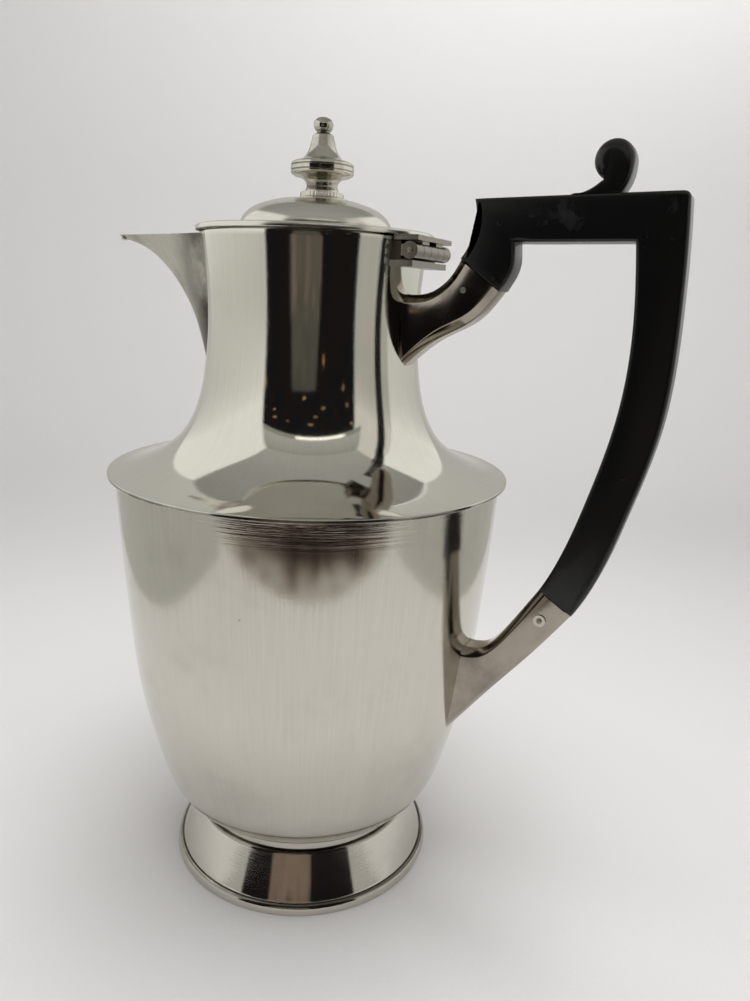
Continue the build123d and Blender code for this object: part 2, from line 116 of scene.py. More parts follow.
def add_node(tree, kind, settings=None, links=None):
    """A new node with its properties and input values set and its inputs linked."""
    node = tree.nodes.new("ShaderNode" + kind)
    for name, value in (settings or {}).items():
        if isinstance(name, int) or name in node.inputs:
            node.inputs[name].default_value = value
        else:
            setattr(node, name, value)
    for name, socket in (links or {}).items():
        tree.links.new(socket, node.inputs[name])
    return node


def new_material(name):
    """An empty material and the tree to build it in."""
    material = bpy.data.materials.new(name)
    material.use_nodes = True
    material.node_tree.nodes.clear()
    return material, material.node_tree


print("half grey in linear light", round(linear("#808080")[0], 3))

# %% [markdown]
# ## The studio
#
# The jug stands on a pale sweep under one large soft light. Here the sweep is
# a shallow bowl round the jug, flat in the middle and rising into a wall, so
# that the jug can be looked at from any side. The paper's fibre is drawn about
# a millimetre long, coarser than real fibre, so that it shows.

# %% Sweep of pale paper
paper, tree = new_material("pale_matt_paper")
coordinates = add_node(tree, "TexCoord")
fibre = add_node(
    tree, "TexNoise", {"Scale": 900.0, "Detail": 3.0}, {"Vector": coordinates.outputs["Object"]}
)
paper_tones = {"data_type": "RGBA", 6: linear("#e6e5e4"), 7: linear("#ebeae9")}
shade = add_node(tree, "Mix", paper_tones, {0: fibre.outputs[0]})
surface = add_node(tree, "BsdfPrincipled", {"Roughness": 0.85}, {"Base Color": shade.outputs[2]})
add_node(tree, "OutputMaterial", links={"Surface": surface.outputs[0]})


def ring_mesh(name, profile, segments, material, centre=(0.0, 0.0), close=True):
    """Turns a profile of (radius, height) in millimetres round a vertical axis."""
    shell = bmesh.new()
    rings = []
    for radius, height in profile:
        if radius < 1e-4:
            rings.append([shell.verts.new((centre[0] * MM, centre[1] * MM, height * MM))])
            continue
        ring = []
        for i in range(segments):
            angle = 2 * math.pi * i / segments
            ring.append(
                shell.verts.new(
                    (
                        (centre[0] + radius * math.cos(angle)) * MM,
                        (centre[1] + radius * math.sin(angle)) * MM,
                        height * MM,
                    )
                )
            )
        rings.append(ring)
    pairs = list(zip(rings, rings[1:] + rings[:1])) if close else list(zip(rings, rings[1:]))
    for low, high in pairs:
        for i in range(segments):
            j = (i + 1) % segments
            if len(low) == 1 and len(high) == 1:
                break
            if len(low) == 1:
                corners = (low[0], high[j], high[i])
            elif len(high) == 1:
                corners = (low[i], low[j], high[0])
            else:
                corners = (low[i], low[j], high[j], high[i])
            shell.faces.new(corners)
    bmesh.ops.recalc_face_normals(shell, faces=shell.faces)
    return finish_mesh(name, shell, material)


def finish_mesh(name, shell, material, sharp=35, flat_sides=8):
    """Writes a bmesh to an object, smooth except at sharp edges and on flat sides."""
    mesh = bpy.data.meshes.new(name)
    shell.to_mesh(mesh)
    shell.free()
    for polygon in mesh.polygons:
        polygon.use_smooth = len(polygon.vertices) <= flat_sides
    mesh.set_sharp_from_angle(angle=math.radians(sharp))
    mesh.materials.append(material)
    piece = bpy.data.objects.new(name, mesh)
    bpy.context.scene.collection.objects.link(piece)
    return piece


flat_radius, curve_radius, wall_top = 600, 300, 1300
sweep_profile = [(0, 0), (200, 0), (flat_radius, 0)]
sweep_profile += [
    (flat_radius + curve_radius * math.sin(a), curve_radius * (1 - math.cos(a)))
    for a in np.linspace(0.1, math.pi / 2, 14)
]
sweep_profile += [(flat_radius + curve_radius, wall_top)]
sweep = ring_mesh("sweep", sweep_profile, 96, paper, close=False)
print("sweep faces", len(sweep.data.polygons))

# %% [markdown]
# ## Light
#
# A soft lamp hangs over the jug, a little towards the camera, so the paper is
# brightest round the foot and falls off from there, as in the photograph. A
# second one washes the backdrop, and the world stands in for the even light
# that comes through cloth. The two lamps are hidden from reflections, where
# the tent below takes over.

# %% Lamps and world
world = bpy.data.worlds.new("room")
bpy.context.scene.world = world
world.use_nodes = True
world.node_tree.nodes["Background"].inputs[0].default_value = linear("#aaa9a8")
world.node_tree.nodes["Background"].inputs[1].default_value = 0.9


def spot(side, toward, height=0.0):
    """A point given from the camera's side: to its right, towards it, and up."""
    toward_camera = Vector((math.cos(camera_azimuth), math.sin(camera_azimuth), 0))
    to_right = Vector((-toward_camera.y, toward_camera.x, 0))
    return to_right * side + toward_camera * toward + Vector((0, 0, height))


def soft_lamp(name, place, target, size, power, spread=180):
    """A rectangular area lamp that faces a point and stays out of reflections."""
    data = bpy.data.lights.new(name, "AREA")
    data.shape = "RECTANGLE"
    data.size, data.size_y = size
    data.energy = power
    lamp = bpy.data.objects.new(name, data)
    bpy.context.scene.collection.objects.link(lamp)
    lamp.location = place
    lamp.rotation_mode = "QUATERNION"
    lamp.rotation_quaternion = (Vector(target) - Vector(place)).to_track_quat("-Z", "Y")
    lamp.visible_glossy = False
    data.spread = math.radians(spread)
    return lamp


soft_lamp("overhead", spot(0.03, 0.06, 0.60), spot(0.02, 0.05, 0), size=(0.40, 0.40), power=2.5)
soft_lamp(
    "backdrop_wash", spot(0.26, -0.30, 0.85), spot(0.24, -0.88, 0.68), size=(0.8, 0.2), power=2.6, spread=140
)
print("lamps", sorted(data.name for data in bpy.data.lights))

# %% [markdown]
# ## What the metal sees
#
# Silver has no look of its own: it shows what is round it. Here that is a
# small tent of white cloth, open towards the camera, with a dark room beyond.
# Each band on the neck is one of its parts, so each part has a place of its
# own: the side walls, a back, a roof, a front above the opening and a strip of
# small lamps on its edge. Beyond it are a table, a wall, a plain grey board and
# a few far lamps. All of them show in reflections only. They are glowing
# panels, and the cloth's light and shade, the table's fall from lit to dark and
# the unlit wall's near black are painted light and painted shade.

# %% A glow that changes across a panel


def glow(name, stops, direction, start, end, mottle=0.0, mottle_size=60.0):
    """Emission that runs through (place, hex, strength) stops, from start to end in
    metres along a direction, and wavers by the mottle, whose patches are in mm."""
    material, tree = new_material(name)
    place = add_node(tree, "TexCoord").outputs["Object"]
    dot_product = {"operation": "DOT_PRODUCT", 1: tuple(direction)}
    along = add_node(tree, "VectorMath", dot_product, {0: place})
    from_to = {"From Min": start, "From Max": end}
    share = add_node(tree, "MapRange", from_to, {"Value": along.outputs["Value"]})
    noise = add_node(tree, "TexNoise", {"Scale": 1000.0 / mottle_size, "Detail": 3.0}, {"Vector": place})
    uneven = {"From Min": 0.3, "From Max": 0.7, "To Min": -mottle, "To Max": mottle}
    shift = add_node(tree, "MapRange", uneven, {"Value": noise.outputs[0]})
    moved = add_node(tree, "Math", {"operation": "ADD"}, {0: share.outputs[0], 1: shift.outputs[0]})
    ramp = add_node(tree, "ValToRGB", links={"Fac": moved.outputs[0]})
    while len(ramp.color_ramp.elements) < len(stops):
        ramp.color_ramp.elements.new(0.5)
    for element, (position, colour, strength) in zip(ramp.color_ramp.elements, stops):
        element.position = position
        element.color = [c * strength for c in linear(colour)[:3]] + [1.0]
    light = add_node(tree, "Emission", {"Strength": 1.0}, {"Color": ramp.outputs[0]})
    add_node(tree, "OutputMaterial", links={"Surface": light.outputs[0]})
    return material


def panel(name, corners, material):
    """A flat panel through four corners, seen only in reflections."""
    shell = bmesh.new()
    shell.faces.new([shell.verts.new(corner) for corner in corners])
    made = finish_mesh(name, shell, material)
    made.visible_camera = False
    made.visible_diffuse = False
    made.visible_shadow = False
    return made


def upright_panel(name, start, end, low, high, material):
    """A panel that stands over the line from start to end, between two heights."""
    bottom, top = Vector((0, 0, low)), Vector((0, 0, high))
    return panel(name, (start + bottom, end + bottom, end + top, start + top), material)


UP = Vector((0, 0, 1))
TOWARD = spot(0, 1)
print("the camera's side is", [round(v, 3) for v in TOWARD])

# %% Tent of white cloth
tent_left, tent_right, tent_roof = -0.225, 0.235, 0.44
tent_back, tent_front = -0.26, 0.21
left_front, right_front, right_seam = 0.205, 0.265, 0.04
cloth_left, cloth_right, back_cloth_at, back_foot = -0.24, 0.25, -0.27, 0.05
opening_top, strip_top = 0.285, 0.305

# The cloth panels glow. Their stops are painted light and shade: how brightly the lamps light each part of
# the cloth, by height and, on the roof, from back to front.
left_cloth = glow(
    "white_cloth_left_painted_light",
    [(0.0, "#b8b7b2", 1), (0.3, "#bab9b4", 1), (0.38, "#c4c3be", 1), (0.55, "#efeeea", 1)],
    UP, 0.0, 0.40,
)
right_cloth = glow(
    "white_cloth_right_painted_light",
    [(0.0, "#bdbcb7", 1), (0.3, "#b3b1ab", 1), (0.45, "#b0aea7", 1), (0.6, "#d3d0c9", 1)],
    UP, 0.0, 0.40,
)
back_cloth = glow(
    "white_cloth_back_painted_light", [(0.0, "#cfceca", 1), (0.3, "#b6b5b0", 1), (1.0, "#c2c1bc", 1)], UP, 0.05, 0.44
)
front_cloth = glow("white_cloth_front_painted_light", [(0.0, "#acaba6", 1), (1.0, "#969590", 1)], UP, 0.3, 0.44)
roof_cloth = glow(
    "cloth_roof_painted_light", [(0.0, "#8d8c88", 1), (1.0, "#a6a5a0", 1)], TOWARD, tent_back, tent_front
)
for name, start, end, low, cloth in (
    ("tent_left", spot(tent_left, tent_back), spot(tent_left, left_front), 0, left_cloth),
    ("tent_right", spot(tent_right, right_seam), spot(tent_right, right_front), 0, right_cloth),
    ("tent_right_back", spot(tent_right, tent_back), spot(tent_right, right_seam), 0, left_cloth),
    ("tent_back", spot(cloth_left, back_cloth_at), spot(cloth_right, back_cloth_at), back_foot, back_cloth),
    ("tent_front", spot(cloth_left, tent_front), spot(cloth_right, tent_front), strip_top, front_cloth),
):
    upright_panel(name, start, end, low, tent_roof, cloth)
panel(
    "tent_roof",
    (
        spot(cloth_left, tent_back, tent_roof),
        spot(cloth_right, tent_back, tent_roof),
        spot(cloth_right, tent_front, tent_roof),
        spot(cloth_left, tent_front, tent_roof),
    ),
    roof_cloth,
)
print("tent is", round((tent_right - tent_left) * 1000), "mm wide and", round(tent_roof * 1000), "mm high")

# %% Strip of small lamps
lamp_glow = glow("small_white_lamps", [(0.0, "#fffdf4", 2.0), (1.0, "#fffdf4", 2.0)], UP, 0.0, 1.0)
strip_glow = glow("lamp_strip_backing", [(0.0, "#8f8e88", 1), (1.0, "#8f8e88", 1)], UP, 0.0, 1.0)
upright_panel(
    "strip_backing",
    spot(cloth_left, tent_front), spot(cloth_right, tent_front), opening_top, strip_top, strip_glow,
)
strip_start, lamp_pitch, lamp_width = -0.055, 0.0085, 0.005
lamp_front, lamp_low, lamp_high = 0.209, 0.288, 0.302
for i in range(22):
    side = strip_start + i * lamp_pitch
    upright_panel(
        f"strip_lamp_{i + 1}",
        spot(side, lamp_front), spot(side + lamp_width, lamp_front), lamp_low, lamp_high, lamp_glow,
    )
print("strip lamps are", round(lamp_pitch * 1000, 1), "mm apart")

# %% Dark room beyond the opening
table_near, table_far, table_half, table_height = 0.235, 0.57, 0.5, 0.0006
# The table's glow is painted light: the lit floor's tone at the tent's edge, falling off to painted shade
# further out, with mottle.
table = glow(
    "table_painted_light_falloff",
    [(0.0, "#b2afa8", 1), (0.10, "#8d8177", 1), (0.19, "#3c2e27", 1), (0.35, "#181513", 1)],
    TOWARD, table_near, 0.55, mottle=0.12, mottle_size=45.0,
)
# The wall's glow is painted shade: near black for the unlit room, with mottle.
room_wall_painted_shade = glow(
    "room_wall_painted_shade",
    [(0.0, "#1b1716", 1), (0.5, "#15171a", 1), (1.0, "#241a15", 1)],
    UP, 0.0, 1.2, mottle=0.6, mottle_size=140.0,
)
board = glow(
    "dull_grey_board",
    [(0.0, "#87776b", 1), (0.22, "#7d6b60", 1), (0.36, "#57544c", 1), (1.0, "#4a4842", 1)],
    UP, 0.0, 0.30, mottle=0.30, mottle_size=50.0,
)
warm_lamp = glow("warm_far_lamps", [(0.0, "#ffc27a", 1.2), (1.0, "#ffe2b0", 1.2)], UP, 0.1, 0.5)
panel(
    "table_beyond",
    (
        spot(-table_half, table_near, table_height),
        spot(table_half, table_near, table_height),
        spot(table_half, table_far, table_height),
        spot(-table_half, table_far, table_height),
    ),
    table,
)


def around(azimuth, distance, height=0.0):
    """A point given by its azimuth from the camera's side, its distance and its height."""
    turn = math.radians(azimuth)
    return spot(distance * math.sin(turn), distance * math.cos(turn), height)


wall_distance, wall_step, wall_height = 0.58, 10, 1.1
for i, azimuth in enumerate(range(-80, 80, wall_step)):
    upright_panel(
        f"wall_beyond_{i + 1}",
        around(azimuth, wall_distance), around(azimuth + wall_step, wall_distance), 0, wall_height, room_wall_painted_shade,
    )
board_distance, board_top = 0.55, 0.26
panel(
    "board_beyond",
    (
        around(-27, board_distance),
        around(8, board_distance),
        around(3, board_distance, board_top),
        around(-20, board_distance, board_top),
    ),
    board,
)

# Far lamps as the neck sees them: azimuth and elevation in degrees, width and height in mm
eye_height, lamp_distance = 0.155, 0.54
far_lamps = [
    (-48, 7, 5, 20), (-37, 21, 8, 12), (-38, 17, 11, 4), (-9, 13, 22, 4), (10, 17, 20, 5),
    (10, 5, 6, 9), (39, 23, 6, 20), (-3, 27, 40, 5), (34, 14, 7, 9), (-17, -9, 12, 18),
    (2, 22, 26, 3), (-24, 24, 9, 6), (30, 9, 9, 5),
]
for i, (azimuth, elevation, width, tall) in enumerate(far_lamps):
    height = eye_height + lamp_distance * math.tan(math.radians(elevation))
    reach = math.degrees(width * MM / lamp_distance)
    upright_panel(
        f"far_lamp_{i + 1}",
        around(azimuth, lamp_distance), around(azimuth + reach, lamp_distance),
        height, height + tall * MM, warm_lamp,
    )

# %% [markdown]
# ## Silver plate
#
# The jug is taken to be nickel silver plated with silver: a white metal with
# the least hint of yellow, buffed to a mirror and then dulled by cloths. Fine
# hairlines run the way it was rubbed, larger dents are so shallow that they
# only bend the reflections, and brown tarnish stays where a cloth can't reach.
# At seams, grooves and joins that brown is tarnish and painted shade together.
# Real hairlines are some hundredths of a millimetre wide. Here they lie about
# half a millimetre apart, so that they show at all.

# %% Unroll a turned surface
unrolled_radius = 50.0  # mm; features per mm hold where a piece is as wide as the bowl


def unrolled_place(tree, xyz, across, along):
    """Texture place of a turned surface: features per mm round it and up it."""
    angle = add_node(tree, "Math", {"operation": "ARCTAN2"}, {0: xyz.outputs[1], 1: xyz.outputs[0]})
    times_round = {"operation": "MULTIPLY", 1: unrolled_radius * across}
    round_it = add_node(tree, "Math", times_round, {0: angle.outputs[0]})
    up_it = add_node(tree, "Math", {"operation": "MULTIPLY", 1: 1000.0 * along}, {0: xyz.outputs[2]})
    unrolled = add_node(tree, "CombineXYZ", {2: 0.0}, {0: round_it.outputs[0], 1: up_it.outputs[0]})
    return unrolled.outputs[0]


print("one turn is unrolled to", round(2 * math.pi * unrolled_radius), "mm")

# %% Silver plate
# Features per metre: tarnish clouds of 26 mm, dents of 38 mm, a place for a pit
# every 10.5 mm, and a grain of 0.7 mm, drawn coarser than a buffed one to show
cloud_scale, dent_scale, pit_scale, grain_scale = 38.0, 26.0, 95.0, 1400.0
ridge_rub = (0.035, 1.1)  # ridges per mm round the rim and up it


def silver_plate(
    name,
    colour="#e6e3da",
    roughness=0.12,
    hairlines=0.5,
    rub=(1.3, 0.03),
    tarnish=0.15,
    shade_and_tarnish_seams=(),
    waves=0.5,
    ridges=None,
    stain=None,
    dark="#4d4035",
):
    """Silver plate. rub is hairlines per mm round and up the piece; seams are
    (height, reach) in mm where tarnish and painted shade gather, and ridges the
    same for fine rings left by the lathe; stain is a direction and two distances
    along it in mm, between which tarnish and painted shade grow from none to full."""
    material, tree = new_material(name)
    place = add_node(tree, "TexCoord").outputs["Object"]
    xyz = add_node(tree, "SeparateXYZ", links={0: place})
    hair_place = unrolled_place(tree, xyz, *rub)
    hair_noise = {"Scale": 1.0, "Detail": 6.0, "Roughness": 0.75}
    hair = add_node(tree, "TexNoise", hair_noise, {"Vector": hair_place})
    cloud_noise = {"Scale": cloud_scale, "Detail": 6.0, "Roughness": 0.65}
    cloud = add_node(tree, "TexNoise", cloud_noise, {"Vector": place})
    grain = add_node(tree, "TexNoise", {"Scale": grain_scale, "Detail": 3.0}, {"Vector": place})
    dents = add_node(tree, "TexNoise", {"Scale": dent_scale, "Detail": 2.0}, {"Vector": place})
    dent_depth = {"Strength": waves * 0.3, "Distance": 0.0006}
    bump = add_node(tree, "Bump", dent_depth, {"Height": dents.outputs[0]})
    bump = add_node(
        tree,
        "Bump",
        {"Strength": hairlines * 0.3, "Distance": 0.00006},
        {"Height": hair.outputs[0], "Normal": bump.outputs[0]},
    )
    bump = add_node(
        tree,
        "Bump",
        {"Strength": 0.06, "Distance": 0.00004},
        {"Height": grain.outputs[0], "Normal": bump.outputs[0]},
    )
    if ridges:
        from_rim = add_node(tree, "Math", {"operation": "SUBTRACT", 1: ridges[0] * MM}, {0: xyz.outputs[2]})
        from_rim = add_node(tree, "Math", {"operation": "ABSOLUTE"}, {0: from_rim.outputs[0]})
        fading = {"From Max": ridges[1] * MM, "To Min": 0.6, "To Max": 0.0}
        fade = add_node(tree, "MapRange", fading, {"Value": from_rim.outputs[0]})
        ring_place = unrolled_place(tree, xyz, *ridge_rub)
        ring_noise = {"Scale": 1.0, "Detail": 4.0, "Roughness": 0.6}
        rings = add_node(tree, "TexNoise", ring_noise, {"Vector": ring_place})
        bump = add_node(
            tree,
            "Bump",
            {"Distance": 0.0002},
            {"Strength": fade.outputs[0], "Height": rings.outputs[0], "Normal": bump.outputs[0]},
        )
    thin_tarnish = {"From Min": 0.50, "From Max": 0.75, "To Min": 0.0, "To Max": tarnish}
    tarnish_and_shade = add_node(tree, "MapRange", thin_tarnish, {"Value": cloud.outputs[0]}).outputs[0]
    cells = add_node(tree, "TexVoronoi", {"Scale": pit_scale, "Randomness": 1.0}, {"Vector": place})
    chance = add_node(tree, "SeparateColor", links={"Color": cells.outputs["Color"]})
    few = add_node(tree, "Math", {"operation": "LESS_THAN", 1: 0.16}, {0: chance.outputs[0]})
    pit_edge = {"From Min": 0.022, "From Max": 0.045, "To Min": 0.9, "To Max": 0.0}
    dot = add_node(tree, "MapRange", pit_edge, {"Value": cells.outputs["Distance"]})
    pit = add_node(tree, "Math", {"operation": "MULTIPLY"}, {0: few.outputs[0], 1: dot.outputs[0]})
    tarnish_and_shade = add_node(tree, "Math", {"operation": "MAXIMUM"}, {0: tarnish_and_shade, 1: pit.outputs[0]}).outputs[0]
    uneven = {"From Min": 0.36, "From Max": 0.58, "To Min": 0.25, "To Max": 1.0}
    patchy = add_node(tree, "MapRange", uneven, {"Value": cloud.outputs[0]})
    # Each listed seam darkens the colour: tarnish and painted shade, patchy with the clouds.
    for height, reach in shade_and_tarnish_seams:
        away = add_node(tree, "Math", {"operation": "SUBTRACT", 1: height * MM}, {0: xyz.outputs[2]})
        away = add_node(tree, "Math", {"operation": "ABSOLUTE"}, {0: away.outputs[0]})
        thinning = {"From Max": reach * MM, "To Min": 1.0, "To Max": 0.0}
        near = add_node(tree, "MapRange", thinning, {"Value": away.outputs[0]})
        seam_shade_and_tarnish = add_node(tree, "Math", {"operation": "MULTIPLY"}, {0: near.outputs[0], 1: patchy.outputs[0]})
        tarnish_and_shade = add_node(tree, "Math", {"operation": "MAXIMUM"}, {0: tarnish_and_shade, 1: seam_shade_and_tarnish.outputs[0]}).outputs[0]
    # Along the stain's direction the colour darkens: tarnish and painted shade grow from none to full.
    if stain:
        direction, first, last = stain
        along = add_node(tree, "VectorMath", {"operation": "DOT_PRODUCT", 1: direction}, {0: place})
        growing = {"From Min": first * MM, "From Max": last * MM}
        grown = add_node(tree, "MapRange", growing, {"Value": along.outputs["Value"]})
        grown = add_node(
            tree, "Math", {"operation": "MULTIPLY"}, {0: grown.outputs[0], 1: patchy.outputs[0]}
        )
        tarnish_and_shade = add_node(tree, "Math", {"operation": "MAXIMUM"}, {0: tarnish_and_shade, 1: grown.outputs[0]}).outputs[0]
    darker_lines = {"From Min": 0.35, "From Max": 0.65, "To Min": 1 - 0.16 * hairlines, "To Max": 1.0}
    rubbed = add_node(tree, "MapRange", darker_lines, {"Value": hair.outputs[0]})
    up_from_black = {"data_type": "RGBA", 6: linear("#000000"), 7: linear(colour)}
    clean = add_node(tree, "Mix", up_from_black, {0: rubbed.outputs[0]})
    tint = add_node(tree, "Mix", {"data_type": "RGBA", 7: linear(dark)}, {0: tarnish_and_shade, 6: clean.outputs[2]})
    spread = add_node(
        tree,
        "MapRange",
        {"From Min": 0.3, "From Max": 0.7, "To Min": roughness * 1.35, "To Max": roughness * 0.7},
        {"Value": hair.outputs[0]},
    )
    rough = add_node(tree, "Math", {"operation": "MULTIPLY_ADD", 1: 0.3}, {0: tarnish_and_shade, 2: spread.outputs[0]})
    surface = add_node(
        tree,
        "BsdfPrincipled",
        {"Metallic": 1.0},
        {"Base Color": tint.outputs[2], "Roughness": rough.outputs[0], "Normal": bump.outputs[0]},
    )
    add_node(tree, "OutputMaterial", links={"Surface": surface.outputs[0]})
    return material


# %% One silver finish for each way that a piece was made
# Hairlines run up the bowl and round the turned pieces
up_rub, round_rub = (1.9, 0.035), (0.04, 2.2)
# Darkening at the listed seams and grooves is tarnish and painted shade together.
bowl_silver = silver_plate(
    "silver_plate_hand_rubbed", colour="#d6d2c8", roughness=0.10, hairlines=0.5, rub=up_rub,
    shade_and_tarnish_seams=((127.0, 1.3), (20.0, 1.6)), ridges=(127.0, 9.5),
)
neck_silver = silver_plate(
    "silver_plate_buffed", roughness=0.055, hairlines=0.35, tarnish=0.08, shade_and_tarnish_seams=((126.6, 0.8),), waves=0.35
)
foot_silver = silver_plate(
    "silver_plate_spun", colour="#d3cfc6", roughness=0.06, rub=round_rub, hairlines=0.3,
    shade_and_tarnish_seams=((3.0, 0.45), (16.7, 0.5)),
)
# The beak darkens towards the neck: tarnish and painted shade at the join.
spout_silver = silver_plate(
    "silver_plate_satin", colour="#dcd8cd", roughness=0.27, tarnish=0.75,
    stain=((1, 0, 0), -47.0, -31.5), dark="#4a3f35",
)
cast_silver = silver_plate(
    "silver_plate_cast", colour="#cfc9bd", roughness=0.09, tarnish=0.35, waves=0.25, hairlines=0.3
)
# The sockets' dark grey-brown is partly tarnish and partly a painted dark reflection of the room.
socket_silver_with_painted_reflection = silver_plate(
    "silver_plate_soldered_painted_reflection", colour="#aaa297", roughness=0.09, tarnish=0.5, waves=0.3, dark="#45322a"
)
lid_silver = silver_plate(
    "silver_plate_raised", roughness=0.19, rub=round_rub, hairlines=0.6, shade_and_tarnish_seams=((196.0, 0.25),)
)
turned_silver = silver_plate(
    "silver_plate_turned", colour="#d9d5ca", roughness=0.085, rub=round_rub, tarnish=0.6, waves=0.0,
    shade_and_tarnish_seams=((210.97, 0.2), (212.28, 0.2), (206.9, 1.5), (220.8, 0.6)),
)
# The hinge bracket is coloured a near-black brown all over.
near_black_silver = silver_plate(
    "silver_plate_near_black", colour="#4f463d", roughness=0.30, tarnish=0.9, waves=0.0, dark="#3a2a22"
)
hinge_silver = silver_plate(
    "silver_plate_dulled", colour="#8b847a", roughness=0.18, tarnish=0.8, waves=0.0, dark="#3a2e27"
)
wire = silver_plate("nickel_wire", colour="#a9a397", roughness=0.3, tarnish=0.6, waves=0.0)
print("materials so far", len(bpy.data.materials))

# %% [markdown]
# ## Ebonised wood
#
# The handle is hardwood stained black and polished. It reads as near black
# with soft grey reflections, and rubbed patches where fingers and cloths have
# dulled the polish. The pores run along the grain and are drawn 2 mm apart,
# coarser than real ones, so that they show.

# %% Ebonised wood
ebony, tree = new_material("ebonised_hardwood")
place = add_node(tree, "TexCoord").outputs["Object"]
grain_place = add_node(tree, "Mapping", {"Scale": (500.0, 500.0, 25.0)}, {"Vector": place})
grain_noise = {"Scale": 1.0, "Detail": 5.0, "Roughness": 0.65}
grain = add_node(tree, "TexNoise", grain_noise, {"Vector": grain_place.outputs[0]})
patches = add_node(tree, "TexNoise", {"Scale": 75.0, "Detail": 7.0, "Roughness": 0.7}, {"Vector": place})
rubbed = add_node(tree, "MapRange", {"From Min": 0.62, "From Max": 0.70}, {"Value": patches.outputs[0]})
stain = add_node(
    tree, "Mix", {"data_type": "RGBA", 6: linear("#08090a"), 7: linear("#17181b")}, {0: rubbed.outputs[0]}
)
polish = add_node(tree, "MapRange", {"To Min": 0.26, "To Max": 0.45}, {"Value": rubbed.outputs[0]})
pores = add_node(tree, "Bump", {"Strength": 0.12, "Distance": 0.0001}, {"Height": grain.outputs[0]})
surface = add_node(
    tree,
    "BsdfPrincipled",
    {"IOR": 1.5},
    {"Base Color": stain.outputs[2], "Roughness": polish.outputs[0], "Normal": pores.outputs[0]},
)
add_node(tree, "OutputMaterial", links={"Surface": surface.outputs[0]})
print(ebony.name, "has", len(tree.nodes), "nodes")

# %% [markdown]
# ## Smooth outlines
#
# A raised shape is a smooth line turned on an axis. The line is a cubic
# spline through a few measured points, with its directions given at both
# ends. Working it out here, instead of using a modifier, lets several pieces
# share one line, such as the bowl and the socket that meets it.

# %% Smooth line through points


def smooth_line(points, start=None, end=None, steps=10):
    """Cubic spline through points, with unit directions at its ends if given."""
    p = np.array(points, float)
    n = len(p)
    h = np.linalg.norm(np.diff(p, axis=0), axis=1)
    rows = np.zeros((n, n))
    right_side = np.zeros_like(p)
    for i in range(1, n - 1):
        rows[i, i - 1] = 1 / h[i - 1]
        rows[i, i] = 2 * (1 / h[i - 1] + 1 / h[i])
        rows[i, i + 1] = 1 / h[i]
        right_side[i] = 3 * ((p[i] - p[i - 1]) / h[i - 1] ** 2 + (p[i + 1] - p[i]) / h[i] ** 2)
    for row, direction, a, b in ((0, start, 0, 1), (n - 1, end, n - 1, n - 2)):
        if direction is not None:
            rows[row, row] = 1
            right_side[row] = np.array(direction) / np.linalg.norm(direction)
        else:
            span = h[0] if row == 0 else h[-1]
            sign = 1 if row == 0 else -1
            rows[row, a] = 2
            rows[row, b] = 1
            right_side[row] = 3 * sign * (p[b] - p[a]) / span
    slope = np.linalg.solve(rows, right_side)
    line = []
    for i in range(n - 1):
        for k in range(steps):
            t = k / steps
            line.append(
                (2 * t**3 - 3 * t**2 + 1) * p[i]
                + (t**3 - 2 * t**2 + t) * h[i] * slope[i]
                + (3 * t**2 - 2 * t**3) * p[i + 1]
                + (t**3 - t**2) * h[i] * slope[i + 1]
            )
    return np.array(line + [p[-1]])


def inner_line(line, wall):
    """The same line moved by the wall to its left, drawn backwards."""
    heading = np.gradient(line, axis=0)
    heading /= np.linalg.norm(heading, axis=1)[:, None]
    return (line + wall * np.stack([-heading[:, 1], heading[:, 0]], 1))[::-1]


print("a line through 3 points gets", len(smooth_line([(0, 0), (1, 1), (2, 0)])), "points")

# %% [markdown]
# ## Bowl
#
# The bowl tapers to a small flat bottom and has a wall of 0.9 mm. It is one
# turned outline, out and back in again, so that the inside is there when the
# lid opens.

# %% Bowl
sheet = 0.9
bowl_side = smooth_line(
    [
        (27, 18.8), (35.2, 20.5), (41.9, 26.2), (46.5, 37.7),
        (51.4, 58), (54.4, 85), (56.3, 111), (57.1, 126.9),
    ],
    (1, 0.02),
    (0.04, 1),
    steps=9,
)
bowl_profile = [(0, 18.8)] + list(bowl_side) + list(inner_line(bowl_side, sheet)) + [(0, 18.8 + sheet)]
bowl = ring_mesh("raised_bowl", bowl_profile, 256, bowl_silver)
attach(bowl, "pot")
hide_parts("lower_body")
print("bowl faces", len(bowl.data.polygons))

# %% [markdown]
# ## Shoulder and neck
#
# One sheet was raised into the shoulder's flat ledge and the waisted neck.
# Its outer edge is folded into a fine rim that overhangs the bowl.

# %% Shoulder and neck
neck_side = smooth_line(
    [
        (59.0, 127.32), (54.2, 128.1), (48.6, 130.1), (43.0, 133.1), (38.9, 136.55), (35.5, 141.55),
        (32.9, 148.35), (31.2, 157.35), (30.3, 170.35), (30.8, 182.35), (31.9, 193.3),
    ],
    (-1, 0.06),
    (0.12, 1),
    steps=9,
)
neck_inside = inner_line(neck_side, sheet)
neck_profile = [(59.0, 126.35), (59.18, 126.55), (59.2, 127.1), (59.12, 127.25)]
neck_profile += list(neck_side) + [(31.86, 193.52), (31.6, 193.6), (31.25, 193.6), (31.05, 193.45)]
neck_profile += list(neck_inside[1:-1]) + [(58.6, 126.3)]
neck = ring_mesh("raised_neck", neck_profile, 256, neck_silver)
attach(neck, "pot")
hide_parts("shoulder_and_neck")
print("neck faces", len(neck.data.polygons))

# %% [markdown]
# ## Solid cutters
#
# The port behind the spout and the spout's edge along the neck are cut with
# Blender's Boolean modifier, because no hand-made mesh follows such a line as
# well. The result is read back at once, so no modifier stays.

# %% Boolean cut


